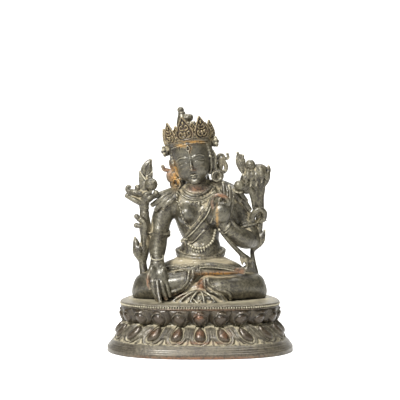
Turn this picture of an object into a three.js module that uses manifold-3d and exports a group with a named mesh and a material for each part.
// A cast bronze Tara seated on a double lotus base, in millimetres, +Z up, facing -Y.
// The origin is the middle of the base's flat underside.
import * as THREE from "three";
import { mergeVertices } from "three/addons/utils/BufferGeometryUtils.js";
import Module from "manifold-3d";

const wasm = await Module();
wasm.setup();

// Driving dimensions of the figure
const FIGURE_HEIGHT = 144; // from the seat to the tip of the hair finial
const U = FIGURE_HEIGHT / 100; // the pose below is written in hundredths of the figure's height
const KNEE_REACH = 34.7 * U; // half the span from knee to knee
const HEM_REACH = 21 * U; // how far the pleated hem comes forward
const BURIED = 2; // how far limbs run below the seat before they are cut flat
const CUT = { across: 200, deep: 50 }; // the block that takes away what is below the seat

// Driving dimensions of the lotus base
const BASE_HEIGHT = 36.4; // to the flat seat
const SIDE_MARGIN = 9.5; // seat beyond each knee
const FRONT_MARGIN = 13; // seat beyond the hem
const FOOT_FLARE = 9.5; // foot beyond the rim
const FOOT_EDGE = 3.4; // upright edge of the foot
const WAIST_INSET = 6; // waist inside the rim
const WAIST_LEVEL = 22;
const PETAL_FOOT_LEVEL = 8.4; // where the lower petals meet the foot's slope
const RIM_DROP = 0.4; // rim below the seat
const RIM_THICKNESS = 3.2;
const PETALS = 22; // in each row
const PETAL_OUT = 4; // lower petals beyond the rim
const PETAL_SCALLOP = 3; // how far a row's edge is raised between two tips
const PETAL_VALLEY = 2; // how deep the surface lies between two petals
const BOSS_HEIGHT = 1.3; // swelling in the middle of each petal
const PLAN_POWER = 2.5; // 2 is an ellipse, more is squarer

const BRONZE = { color: 0x5a5546, roughness: 0.5, metalness: 0.85 };
const DARK_BRONZE = { color: 0x4d483b, roughness: 0.55, metalness: 0.85 };
const FRONT = [0, -1, 0];
const UP = [0, 0, 1];

// A closed geometry from rings of points, with a point beyond each end
function closeRings(rings, first, last) {
  const sides = rings[0].length;
  const points = [...rings.flat(), first, last];
  const [start, end] = [points.length - 2, points.length - 1];
  const index = [];
  for (let i = 0; i < rings.length - 1; i++)
    for (let j = 0; j < sides; j++) {
      const [a, b] = [i * sides + j, i * sides + ((j + 1) % sides)];
      index.push(a, b, b + sides, a, b + sides, a + sides);
    }
  const top = (rings.length - 1) * sides;
  for (let j = 0; j < sides; j++) {
    const next = (j + 1) % sides;
    index.push(start, next, j, end, top + j, top + next);
  }
  const geometry = new THREE.BufferGeometry().setFromPoints(points);
  geometry.setIndex(index);
  if (signedVolume(geometry) < 0) geometry.setIndex(index.reverse());
  return geometry;
}

function signedVolume(geometry) {
  const { position } = geometry.attributes;
  const [a, b, c] = [0, 1, 2].map(() => new THREE.Vector3());
  let volume = 0;
  for (let i = 0; i < geometry.index.count; i += 3) {
    [a, b, c].forEach((corner, k) => corner.fromBufferAttribute(position, geometry.index.getX(i + k)));
    volume += a.dot(b.cross(c)) / 6;
  }
  return volume;
}

// A form swept through stations [x, y, z, half width, half thickness], with its flat side facing one way
function sweep(stations, { sides = 8, rings = stations.length + 1, facing = FRONT } = {}) {
  const route = new THREE.CatmullRomCurve3(stations.map(([x, y, z]) => new THREE.Vector3(x, y, z)));
  const sizes = new THREE.CatmullRomCurve3(
    stations.map(([, , , wide, thick = wide]) => new THREE.Vector3(wide, thick, 0)), false, "catmullrom");
  const towards = new THREE.Vector3(...facing);
  const made = [];
  const ends = [];
  for (let i = 0; i < rings; i++) {
    const t = i / (rings - 1);
    const centre = route.getPoint(t);
    const along = route.getTangent(t);
    const { x: wide, y: thick } = sizes.getPoint(t);
    const across = along.clone().cross(towards).normalize();
    const outwards = across.clone().cross(along);
    made.push(Array.from({ length: sides }, (_, j) => {
      const angle = (2 * Math.PI * j) / sides;
      return centre.clone()
        .addScaledVector(across, wide * Math.cos(angle))
        .addScaledVector(outwards, thick * Math.sin(angle));
    }));
    ends.push(centre.clone().addScaledVector(along, (i ? 1 : -1) * 0.5 * Math.min(wide, thick)));
  }
  return closeRings(made, ends[0], ends[rings - 1]);
}

// A ball or an egg
function blob([x, y, z], [rx, ry, rz], sides = 7, rows = 5) {
  return new THREE.SphereGeometry(1, sides, rows).rotateX(Math.PI / 2).scale(rx, ry, rz).translate(x, y, z);
}

// A ring of round section about a centre, seen along its axis
function ring([x, y, z], axis, radius, thick, { sides = 4, around = 10, depth = radius } = {}) {
  const turn = new THREE.Quaternion().setFromUnitVectors(
    new THREE.Vector3(...UP), new THREE.Vector3(...axis).normalize());
  return new THREE.TorusGeometry(radius, thick, sides, around)
    .scale(1, depth / radius, 1).applyQuaternion(turn).translate(x, y, z);
}

// A pointed leaf or petal: stations as for a sweep, thin at the tip
function leaf(root, middle, tip, wide, thick = 0.8, facing = FRONT) {
  const stations = [[...root, wide * 0.45, thick], [...middle, wide, thick],
    [...tip, wide * 0.12, thick * 0.4]];
  return sweep(stations, { sides: 4, rings: 3, facing });
}

function solidOf(geometry) {
  const bare = geometry.clone();
  bare.deleteAttribute("normal");
  bare.deleteAttribute("uv");
  const merged = mergeVertices(bare, 1e-4);
  return new wasm.Manifold(new wasm.Mesh({
    numProp: 3,
    vertProperties: merged.attributes.position.array,
    triVerts: new Uint32Array(merged.index.array),
  }));
}

function geometryOf(solid) {
  const { numProp, vertProperties, triVerts } = solid.getMesh();
  const points = new Float32Array((vertProperties.length / numProp) * 3);
  for (let i = 0; i < points.length / 3; i++)
    points.set(vertProperties.subarray(i * numProp, i * numProp + 3), i * 3);
  const geometry = new THREE.BufferGeometry();
  geometry.setAttribute("position", new THREE.BufferAttribute(points, 3));
  geometry.setIndex(new THREE.BufferAttribute(new Uint32Array(triVerts), 1));
  return geometry;
}

const mirrored = ([x, y, z, ...sizes]) => [-x, y, z, ...sizes];

// The trunk's outline: level, middle across, middle in depth, half width, half depth
const TRUNK = [
  [8, 0, 8, 15, 11], [19, 0.2, 7, 13.2, 10.4], [24, 0.3, 6.5, 11.6, 9.2], [27.5, 0.4, 6.2, 10.4, 8.2],
  [30.5, 0.4, 6, 9.3, 7.6], [35, 0, 5.8, 10.2, 8], [40, -0.8, 5.6, 11.4, 8.6], [45, -1.2, 5.4, 12.6, 9],
  [50, -1, 5.6, 15.4, 8.6], [53.5, -0.8, 5.6, 15.2, 7.4], [56.3, -1.4, 5, 10.5, 6.2],
  [59, -2, 4.2, 6.4, 5.4], [63, -2.3, 3.4, 5.3, 5.1], [67, -2.6, 2.8, 5, 5],
];
const BREASTS = [[-6.4, -1.4, 44.6], [5.2, -1.4, 44.6]];
const BREAST_RADIUS = 4.7;

// Depth of the trunk's front at a place across and a level, so that ornaments lie on it
function chest(x, z) {
  const above = Math.max(1, TRUNK.findIndex(([level]) => level >= z));
  const [low, high] = [TRUNK[above - 1], TRUNK[above]];
  const share = (z - low[0]) / (high[0] - low[0]);
  const [, cx, cy, rx, ry] = low.map((value, i) => value + share * (high[i] - value));
  const front = cy - ry * Math.sqrt(Math.max(0, 1 - ((x - cx) / rx) ** 2));
  const swells = BREASTS.map(([bx, by, bz]) => {
    const rest = BREAST_RADIUS ** 2 - (x - bx) ** 2 - (z - bz) ** 2;
    return rest > 0 ? by - Math.sqrt(rest) : front;
  });
  return Math.min(front, ...swells);
}

// A band laid on the chest through places [across, level], with its half width and half thickness
const laid = (places, wide, thick, options) =>
  sweep(places.map(([x, z]) => [x, chest(x, z) - 0.2 * thick, z, wide, thick]), options);

function trunk() {
  const body = sweep(TRUNK.map(([z, x, y, rx, ry]) => [x, y, z, rx, ry]), { sides: 10, rings: 12 });
  return [body, ...BREASTS.map((place) => blob(place, [4.9, BREAST_RADIUS, 4.9]))];
}

// Belt, necklaces, sash and the long chain
function dress() {
  const fine = { sides: 4, rings: 5 };
  const collar = [[-8.6, 57.4], [-5.4, 55.2], [-1.4, 54.2], [2.8, 55.4], [6.4, 58]];
  const necklace = [[-11.6, 56.6], [-7.1, 53], [-0.9, 51.6], [5.3, 53.6], [9.2, 57]];
  const sash = [[9.2, 57.6], [4.8, 47.4], [0.4, 39], [-4.2, 33.2], [-7, 29.6]];
  const chain = [[8, 35.8], [6.4, 30.4], [3.5, 27.4], [0, 26.6], [-3.4, 27.2], [-5.6, 28.8]];
  const sashBehind = [[9.4, 7, 59, 3, 1.2], [8, 13.6, 50, 3, 1.1], [0, 14, 38, 3, 1],
    [-8.2, 10.6, 28, 2.6, 1]];
  return [
    ring([0.3, 6.4, 24.2], [0, -0.17, 1], 11.5, 2.2, { sides: 5, around: 13, depth: 9.1 }),
    laid(collar, 0.9, 0.8, fine), laid(necklace, 1.1, 0.9, fine), laid(sash, 3, 1, fine),
    sweep(sashBehind, { sides: 4, rings: 4, facing: [0, 1, 0] }), laid(chain, 0.8, 0.9, fine),
  ];
}

// Thighs, shins and feet, crossed with the right foot on the left thigh, and the lap between
function legs() {
  const lap = sweep([[0.6, 5.6, -BURIED, 23, 15], [0.6, 5.6, 5, 22.6, 15], [0.6, 5.8, 12, 19, 13.6],
    [0.4, 6.4, 17, 15, 11.4], [0.2, 6.8, 20.5, 13, 10.2]], { sides: 11, rings: 5 });
  const thigh = [[-8, 5, 13, 8.5], [-16, 3.4, 11.4, 8.5], [-24, 1, 8.4, 7.9], [-29.6, -0.6, 7, 7],
    [-32.8, -1.4, 6.8, 4.6]];
  const rightShin = [[-27.6, -2.6, 7.2, 6.9], [-20, -7.6, 8, 6.8], [-12, -10.4, 9.8, 6.2],
    [-5.2, -11.6, 12.4, 4.6], [-0.6, -12.2, 14.4, 3]];
  const leftShin = [[26.8, -2.6, 7.2, 6.9], [19, -8, 7.2, 6.9], [11, -10.8, 7.2, 6.3],
    [4.6, -11.4, 7.4, 4.8], [-2, -11, 7, 3.4]];
  const foot = [[-1, -12.2, 14.4, 2.4, 2.6], [5, -12.4, 14.8, 2.6, 2.2], [13, -12, 15.6, 2.9, 1.8],
    [20, -11.2, 15.8, 2.2, 1.4], [23, -10.8, 15.8, 1.4, 1]];
  return [lap, ...[thigh, thigh.map(mirrored)].map((line) => sweep(line, { rings: line.length })),
    sweep(rightShin, { rings: 7, facing: UP }), sweep(leftShin, { rings: 7, facing: UP }),
    sweep(foot, { sides: 6, rings: 5 })];
}

// Double hems round the shins, the beaded edge over the foot, and the pleated fan on the seat
function skirt() {
  const hems = [
    [[-5.8, -14.6, 16.2], [-5.6, -16.2, 12.4], [-8.4, -16.8, 8.6], [-13.8, -17.4, 5.2],
      [-17.5, -16.6, 2.6]],
    [[-3.8, -14.2, 16.6], [-3.4, -15.8, 12.8], [-5.4, -17, 8.8], [-9.4, -18, 5.6], [-15, -18, 2.2]],
    [[3, -14.6, 12.6], [3.4, -16.2, 9.2], [5.6, -17, 6.2], [11.6, -18, 3.4]],
    [[4.8, -14.8, 13], [5.2, -16.4, 10.2], [8, -17.2, 7], [13.2, -17.6, 4.4], [14.6, -17.8, 2]],
  ];
  const edge = [[0.6, -13.4, 18.6, 1.3, 1.1], [6, -13.8, 18.6, 1.7, 1.2], [12, -13.4, 17.8, 1.5, 1.1],
    [17.4, -12.2, 16.6, 0.9, 0.9]];
  const overLap = [[-19, -6, 14.6, 1, 0.7], [-12, -9.6, 17.2, 1.2, 0.8], [-4, -10.6, 18.4, 1.2, 0.8]];
  return [...hems.map((hem) => sweep(hem.map((p) => [...p, 0.7]), { sides: 4, rings: 5 })),
    sweep(edge, { sides: 4, rings: 4 }), sweep(overLap, { sides: 4, rings: 3 }), fan()];
}

// A half-round fan of pleats, with a scalloped edge standing on the seat
function fan() {
  const [pleats, wide, deep, backAt, rise] = [8, 14.6, 9.4, -11.6, 6.4];
  const rim = Array.from({ length: pleats * 2 + 1 }, (_, i) => {
    const angle = Math.PI + (Math.PI * i) / (pleats * 2);
    const reach = i % 2 ? 1 : 0.93;
    const [x, y] = [wide * reach * Math.cos(angle), backAt + deep * reach * Math.sin(angle)];
    return { x, y, high: i % 2 ? 1.7 : 0.8 };
  });
  const behind = [1, -1].map((side) => ({ x: side * wide * 0.6, y: backAt + 4, high: 2 }));
  const corners = [...rim, ...behind];
  const level = (z) => corners.map(({ x, y, high }) => new THREE.Vector3(x, y, z ?? high));
  const inner = corners.map(({ x, y }, i) =>
    new THREE.Vector3(x * 0.35, backAt - 2 + (y - backAt) * 0.35, rise - (i % 2 ? 0 : 0.7)));
  return closeRings([level(-BURIED), level(), inner],
    new THREE.Vector3(0, backAt - 2, -BURIED), new THREE.Vector3(0, backAt - 1.5, rise + 0.6));
}

// The right arm hangs over the knee with the palm turned out; the left is raised to the chest
function arms() {
  const right = [[-13.6, 6, 52.4, 4.6], [-17.6, 5.8, 50.4, 5.5], [-20, 5, 42, 5.5], [-21.1, 3, 35.4, 4.8],
    [-21.2, 2.8, 34.9, 5.6], [-21.4, 2.4, 33.4, 5.6], [-21.4, 2.2, 32.8, 4.5], [-21.7, -3.4, 27, 4],
    [-21.8, -9, 20.6, 2.9], [-21.8, -11.6, 17.6, 2.6]];
  const leftUpper = [[13, 6, 52.4, 4.8], [17.4, 6, 50, 5.4], [22.4, 5.4, 42, 5.4], [23.8, 4.8, 39, 5.1],
    [24, 4.7, 38.6, 6], [24.7, 4.4, 37.2, 6], [24.9, 4.3, 36.8, 5], [26.6, 3.4, 33.4, 4.6],
    [27, 2, 30.8, 3.8]];
  const leftFore = [[27.4, 2.8, 30.2, 4.1], [22.6, -2.6, 31.6, 5.1], [17, -6.6, 34.8, 4.4],
    [12.6, -9.6, 38.6, 3.1], [11.6, -10.6, 41, 3]];
  return [right, leftUpper].map((arm) => sweep(arm, { rings: arm.length }))
    .concat(sweep(leftFore, { rings: 6, facing: UP }),
      ring([-21.8, -9.6, 20], [0, -0.6, 1], 3.2, 0.8, { around: 8 }),
      ring([13, -9.3, 38.4], [-1, -0.5, 0.7], 3.4, 0.8, { around: 8 }));
}

// Each finger is a short sweep through its knuckles, thinner towards its tip
function finger(joints, thick) {
  const last = joints.length - 1;
  const stations = joints.map((place, i) => [...place, thick * (1 - (0.22 * i) / last)]);
  return sweep(stations, { sides: 4, rings: joints.length });
}

function hands() {
  const rightPalm = [[-21.8, -12, 18.4, 2.8, 1.9], [-21.4, -14.4, 14.6, 4.7, 1.8],
    [-20.6, -16, 10.8, 5, 1.6], [-19.8, -16.4, 8.4, 4.2, 1.3]];
  const leftPalm = [[12, -10.4, 39.8, 2.8, 2.2], [11.4, -11.4, 43.4, 4, 2.2], [11.6, -11.8, 47.6, 4.3, 1.9],
    [12.8, -11.6, 50.6, 3.4, 1.5]];
  return [sweep(rightPalm, { sides: 7, rings: 4 }), sweep(leftPalm, { sides: 7, rings: 4 }),
    finger([[-25, -14.6, 15.4], [-26.2, -16.4, 12], [-24.9, -17.4, 7.4]], 1.3),
    finger([[-23.4, -16.4, 9.6], [-22.6, -17.2, 5.4], [-21.4, -17, 1.2]], 1.35),
    finger([[-21.2, -17, 9.6], [-20.4, -18, 4.6], [-19.1, -18, -0.6]], 1.35),
    finger([[-19, -16.8, 9], [-18.2, -17.4, 5], [-17.6, -17, 1.4]], 1.3),
    finger([[-17, -16, 9.2], [-16.2, -16.6, 6], [-15.9, -16.2, 3]], 1.15),
    finger([[8.4, -11.6, 42], [5.6, -12.8, 46.4], [5.2, -13.8, 50.6], [6.6, -14.4, 54.2]], 1.4),
    finger([[13.6, -12, 49.8], [13.4, -13.6, 53.4], [11, -14.8, 55], [6.8, -14.6, 54.4]], 1.25),
    finger([[12, -11.6, 50], [12.4, -11.4, 55.4], [12, -10.6, 60]], 1.3),
    finger([[14.6, -11.2, 49.4], [15.2, -10.8, 54.4], [15.2, -10, 58.4]], 1.25),
    finger([[14.6, -11, 47.4], [16.9, -10.4, 51.4], [17.4, -9.6, 55]], 1.2)];
}

// The head is built upright about its own middle, then tilted towards the right shoulder
const HEAD_MIDDLE = [-3.5, 1.6, 71];
const HEAD_TILT = new THREE.Euler(...[6, -10.5, -8].map(THREE.MathUtils.degToRad), "ZYX");
const headPlace = new THREE.Matrix4().compose(new THREE.Vector3(...HEAD_MIDDLE),
  new THREE.Quaternion().setFromEuler(HEAD_TILT), new THREE.Vector3(1, 1, 1));

// The face, with the diadem's band round the brow
function face() {
  const skull = [[0, -3, -12.4, 2.8, 2.6], [0, -2.6, -10.4, 5.6, 5.4], [0, -1.2, -6.6, 8.6, 7.8],
    [0, -0.2, -2, 10.1, 9.2], [0, 0.4, 3, 10.5, 9.7], [0, 0.6, 8, 10.2, 9.7], [0, 0.6, 8.4, 11.6, 11.2],
    [0, 0.6, 10.4, 11.8, 11.4], [0, 0.8, 11, 9, 8.8], [0, 1, 14.4, 5, 5]];
  const nose = [[0, -8.8, 1.2, 0.8, 0.8], [0, -10, -2.2, 1, 1], [0, -10.2, -3.9, 1.5, 1.1]];
  return [sweep(skull, { sides: 11, rings: skull.length }), sweep(nose, { sides: 4, rings: 3 }),
    blob([0, -8.4, -6.6], [2.2, 1.2, 1], 4, 4)];
}

// Hair drawn up to a knot with a jewel
function hair() {
  const knot = [[0, 2, 12, 7.4, 6.8], [0.2, 2, 17.4, 6, 5], [-0.2, 2, 21, 4.6, 4],
    [-0.6, 2, 23.6, 4.4, 4.2], [-1.2, 2, 26, 2.8, 2.6]];
  return [sweep(knot, { sides: 7, rings: 5 }), blob([-1.6, 2, 27.9], [2, 1.9, 2.2], 6, 4)];
}

// Five pointed leaves that stand in the diadem's band, ear rosettes, ears and round earrings
function crown() {
  const parts = [];
  for (let i = -2; i <= 2; i++) {
    const angle = (i * 40 * Math.PI) / 180;
    const outward = [Math.sin(angle), -Math.cos(angle), 0];
    const at = (reach, z) => [reach * outward[0], 0.6 + reach * outward[1], z];
    const [foot, tip] = [9.4 - 0.5 * Math.abs(i), 24.4 - 1.2 * i * i];
    parts.push(sweep([[...at(10.6, foot), 4.4, 1.3], [...at(12, foot + 0.35 * (tip - foot)), 5, 1.5],
      [...at(12.8, foot + 0.7 * (tip - foot)), 3.5, 1.2], [...at(12.8, tip), 0.5, 0.5]],
      { sides: 4, rings: 4, facing: outward }));
  }
  for (const s of [-1, 1]) {
    parts.push(blob([12.8 * s, 2.2, 8], [2.4, 3.2, 3.4], 6, 4));
    parts.push(sweep([[11 * s, 2, 7, 2.4, 2.4], [11.4 * s, 2, 0, 2.1, 2], [11.6 * s, 1.4, -7, 1.6, 1.6]],
      { sides: 5, rings: 3 }));
    parts.push(ring([11.4 * s, 0.4, -8.9], [0.2 * s, -1, 0], 1.9, 1.1, { around: 7 }));
  }
  return parts;
}

const head = () => [...face(), ...hair(), ...crown()].map((form) => form.applyMatrix4(headPlace));

// Hair on the back, ribbons beside the ears, and the tufts that lie on the shoulders
function locks() {
  const fall = [[-5.4, 9, 77, 7, 2.8], [-3.6, 12, 68, 7.6, 3], [-2, 14, 58, 8.4, 2.4],
    [-1, 14.6, 48, 8.4, 1.8], [-0.4, 14, 38, 4.4, 1.2]];
  const right = [[-13.4, 3.4, 66], [-16, 3.8, 64.6], [-16.6, 4, 67.4], [-18.6, 4, 67.6], [-20, 4, 70]];
  const left = [[7, 3.2, 66.6], [12.4, 4, 66.8], [13.2, 4.4, 70.4], [10.8, 4.6, 74], [12, 4.6, 75],
    [14.6, 4.6, 73.4], [14.2, 4.6, 76.2]];
  const tufts = [
    [[-11.5, 3, 58], [-14.6, 0, 55], [-16.6, -0.8, 51.4], 2.6],
    [[-13, 4, 57], [-18.6, 1.4, 54.6], [-24.6, 1.6, 53.4], 2.4],
    [[-14, 4, 55.6], [-19.4, 0.4, 52.2], [-22.8, 0.4, 49.2], 2.4],
    [[10.5, 3, 58], [15, 0.2, 55.2], [17.6, 0, 51.6], 2.6],
    [[13, 4, 56.6], [20, 1.4, 53.8], [26, 1.6, 49.6], 3],
  ];
  const lock = [[-11.8, 56], [-11.4, 50], [-9.6, 44], [-7.8, 38.6]];
  const mantle = [[4, 4.6, 59.4, 3.4, 3], [11.6, 4.4, 59.4, 3.2, 2.4], [18.6, 3.6, 57.4, 2, 1.6]];
  const ribbon = (places) => sweep(places.map((p) => [...p, 1.4, 0.9]), { sides: 4, rings: places.length });
  return [
    sweep(fall, { sides: 7, rings: 5, facing: [0, 1, 0] }), sweep(mantle, { sides: 6, rings: 3 }),
    ribbon(right), ribbon(left), laid(lock, 0.9, 0.9, { sides: 4, rings: 4 }),
    ...tufts.map(([root, middle, tip, wide]) => leaf(root, middle, tip, wide, 1.1)),
  ];
}

// Lotus plant by the right arm: stem, bud, curled leaf and an open flower with its fruit
function rightSpray() {
  const stem = [[-29, -0.6, 10, 2.6], [-29.8, 1, 19, 2], [-28.8, 1.2, 25.5, 2.8], [-28.8, 1.2, 32, 2.6],
    [-28.8, 1.2, 38, 2.9], [-28.8, 1.2, 44, 2.4], [-29, 1, 52, 2.8]];
  return [sweep(stem, { sides: 5, rings: 8 }),
    sweep([[-28, 2, 33.6, 1.2], [-24.6, 2.4, 33.6, 1.3]], { sides: 4, rings: 2 }),
    sweep([[-27.4, 2, 36, 1.3], [-26.2, 2, 43, 1], [-27, 2, 50, 1.2]], { sides: 4, rings: 3 }),
    sweep([[-30.4, 1, 20, 2], [-32.2, 0.4, 25, 3.3], [-32.8, 0.2, 28, 2.4], [-33.8, 0, 32.4, 0.4]],
      { sides: 5, rings: 4 }),
    leaf([-28.8, 1, 38.6], [-31.6, 0.3, 40], [-33.4, 0, 43.6], 2.4, 2.4, UP),
    leaf([-28.6, 1, 50.6], [-33.2, 0, 52], [-38, 0, 53.6], 2.6, 2.4, UP),
    leaf([-29, 1, 53.5], [-34, -0.6, 55.6], [-37.6, 0, 59.6], 2.4, 2.4, UP),
    leaf([-28.4, 0.4, 51.4], [-24.4, -1, 52.2], [-20.8, -2, 55.6], 3, 2.2, UP),
    blob([-28.6, 0.4, 56], [3.8, 3.4, 4.6], 6, 5), blob([-25, -1.8, 60], [3.6, 3.4, 3.6], 7, 5),
    leaf([-29.6, 0, 56], [-30.9, 0, 61], [-31.4, 0, 66.6], 1.9, 1.4),
    sweep([[-28.6, 1, 58, 2, 1.6], [-28.8, 1, 64, 2.8, 1], [-27.6, 1, 69, 2.4, 0.8],
      [-25.8, 1, 72.8, 0.5, 0.5]], { sides: 4, rings: 4 }),
  ];
}

// Lotus plant by the left arm, with the stem that the left hand holds
function leftSpray() {
  const stem = [[29, 0.4, 10, 2.6], [28, 2, 19, 1.5], [27.6, 3, 25.5, 1.3], [29.6, 3.6, 31, 1.7],
    [31.4, 4, 37, 2], [31.4, 4, 43, 2.2], [31.2, 4, 50, 2.4], [31.4, 3.6, 60, 2.8], [29.6, 2.6, 66, 2.4]];
  const curl = [[27, 1.6, 38.6, 1.4], [27.6, 0.4, 44, 1.5], [30.6, -0.6, 47, 1.5], [33.6, 0, 45, 1.4],
    [33, 1, 41, 1.3], [31.6, 2, 38.6, 1.1]];
  const held = [[9.3, -13.2, 49, 1], [9.2, -13.2, 42, 1.1], [10.8, -9.6, 35.6, 1.2],
    [17.8, -6.4, 28.2, 1.4], [24.4, -3, 21, 1.9], [29, 0, 12, 2]];
  const inner = [[29.4, 3.6, 43, 2.4], [28.6, 3, 50, 2.4], [28.4, 2, 56, 2.2], [27, 1.4, 62, 2.4]];
  const drooping = [[28, 2, 65.6, 2.6, 2], [31.4, 2, 67.8, 3, 2.4], [34.6, 2, 65.6, 2.6, 2.2],
    [35.4, 2, 60, 0.8, 0.8]];
  return [
    sweep(stem, { sides: 5, rings: 9 }), sweep(curl, { sides: 4, rings: 6 }),
    sweep(held, { sides: 4, rings: 6 }), sweep(inner, { sides: 4, rings: 4 }),
    sweep(drooping, { sides: 5, rings: 4, facing: UP }),
    leaf([23, -3.8, 22.6], [24.6, -4.4, 19], [27, -4, 15.6], 2.2, 1.2),
    leaf([28.6, 3.2, 26.6], [32.8, 3.2, 31.2], [34.8, 3, 36.4], 2.6, 1.4),
    blob([27.2, 1.2, 64.4], [3.9, 3.8, 5], 6, 5), blob([25.9, -0.8, 70.3], [3, 2.9, 2.9], 6, 5),
    leaf([31.6, 2, 67], [34.8, 2, 67.6], [37, 2, 70.6], 2, 1.1),
    leaf([25, 1, 65.4], [22, 1, 71.4], [19.6, 1, 77], 2.9, 1),
    blob([20.8, -1.4, 59.2], [3.2, 2.9, 3.2], 7, 5),
    leaf([27.6, 0, 61], [24, -1.4, 58], [22, -1.6, 56.6], 2.6, 1.6, UP),
    leaf([26.6, 0, 60], [23.4, -1.6, 63], [22, -2, 66.8], 2, 1.2),
  ];
}

// Everything that was cast as one figure, joined, and cut flat where it sits
function taraFigure() {
  const forms = [trunk, dress, legs, skirt, arms, hands, head, locks, rightSpray, leftSpray];
  const joined = forms.flatMap((form) => form()).map(solidOf).reduce((whole, form) => whole.add(form));
  const block = new THREE.BoxGeometry(CUT.across, CUT.across, CUT.deep).translate(0, 0, -CUT.deep / 2);
  const below = solidOf(block);
  return geometryOf(joined.subtract(below)).scale(U, U, U);
}

// A point of the base's oval plan, for a half width, a half depth and an angle
function planPoint(angle, halfWidth, halfDepth, z) {
  const bend = (v) => Math.sign(v) * Math.abs(v) ** (2 / PLAN_POWER);
  return new THREE.Vector3(halfWidth * bend(Math.cos(angle)), halfDepth * bend(Math.sin(angle)), z);
}

// Angles that divide the rim's outline into equal lengths, starting at the middle of the front
function evenAngles(count, halfWidth, halfDepth) {
  const fine = 2880;
  const lengths = [0];
  let last = planPoint(-Math.PI / 2, halfWidth, halfDepth, 0);
  for (let i = 1; i <= fine; i++) {
    const next = planPoint(-Math.PI / 2 + (2 * Math.PI * i) / fine, halfWidth, halfDepth, 0);
    lengths.push(lengths[i - 1] + next.distanceTo(last));
    last = next;
  }
  return Array.from({ length: count }, (_, k) => {
    const wanted = (lengths[fine] * k) / count;
    const i = lengths.findIndex((length) => length > wanted);
    const share = (wanted - lengths[i - 1]) / (lengths[i] - lengths[i - 1]);
    return -Math.PI / 2 + (2 * Math.PI * (i - 1 + share)) / fine;
  });
}

// Foot, lower petals, waist, upper petals, rim and seat, as one ring of rows: [beyond the rim, level,
// share of the valley between petals, share of the boss, how far the edge is raised between two tips]
function lotusBase() {
  const halfWidth = KNEE_REACH + SIDE_MARGIN;
  const halfDepth = HEM_REACH + FRONT_MARGIN;
  const rimTop = BASE_HEIGHT - RIM_DROP;
  const rimFoot = rimTop - RIM_THICKNESS;
  const lower = (share) => PETAL_FOOT_LEVEL + share * (WAIST_LEVEL - PETAL_FOOT_LEVEL);
  const upper = (share) => WAIST_LEVEL + share * (rimFoot - WAIST_LEVEL);
  const rows = [
    [FOOT_FLARE - 0.8, 0, 0, 0, 0], [FOOT_FLARE, 0.8, 0, 0, 0], [FOOT_FLARE, FOOT_EDGE, 0, 0, 0],
    [FOOT_FLARE - 1.3, FOOT_EDGE + 0.9, 0, 0, 0], [PETAL_OUT - 2, PETAL_FOOT_LEVEL, 0, 0, 0],
    [PETAL_OUT, lower(0.07), 0.8, 0, PETAL_SCALLOP], [PETAL_OUT, lower(0.3), 1, 1, PETAL_SCALLOP],
    [PETAL_OUT - 1.9, lower(0.68), 0.7, 0.7, 0.4 * PETAL_SCALLOP], [-WAIST_INSET, WAIST_LEVEL, 0, 0, 0],
    [-2.6, upper(0.34), 0.7, 0.9, -0.4 * PETAL_SCALLOP], [-0.9, upper(0.86), 1, 0.6, -0.8 * PETAL_SCALLOP],
    [-1.8, rimFoot, 0, 0, 0], [0, rimFoot + 1, 0, 0, 0], [0, rimTop, 0, 0, 0],
    [-7, BASE_HEIGHT, 0, 0, 0],
  ];
  const columns = 4;
  const valley = [1, 0.25, 0, 0.25]; // between petals, flank, middle, flank
  const angles = evenAngles(PETALS * columns, halfWidth, halfDepth);
  const rings = rows.map(([out, z, relief, boss, raised]) => angles.map((angle, k) => {
    const column = (k + columns / 2) % columns;
    const swell = column === columns / 2 ? BOSS_HEIGHT * boss : -PETAL_VALLEY * relief * valley[column];
    return planPoint(angle, halfWidth + out + swell, halfDepth + out + swell, z + raised * valley[column]);
  }));
  return closeRings(rings, new THREE.Vector3(0, 0, 0), new THREE.Vector3(0, 0, BASE_HEIGHT));
}

function named(name, geometry, finish) {
  const mesh = new THREE.Mesh(geometry, new THREE.MeshStandardMaterial(finish));
  mesh.name = name;
  return mesh;
}

const tara = new THREE.Group();
const figure = named("tara_figure", taraFigure(), BRONZE);
figure.position.z = BASE_HEIGHT;
tara.add(named("lotus_base", lotusBase(), DARK_BRONZE), figure);

export default tara;
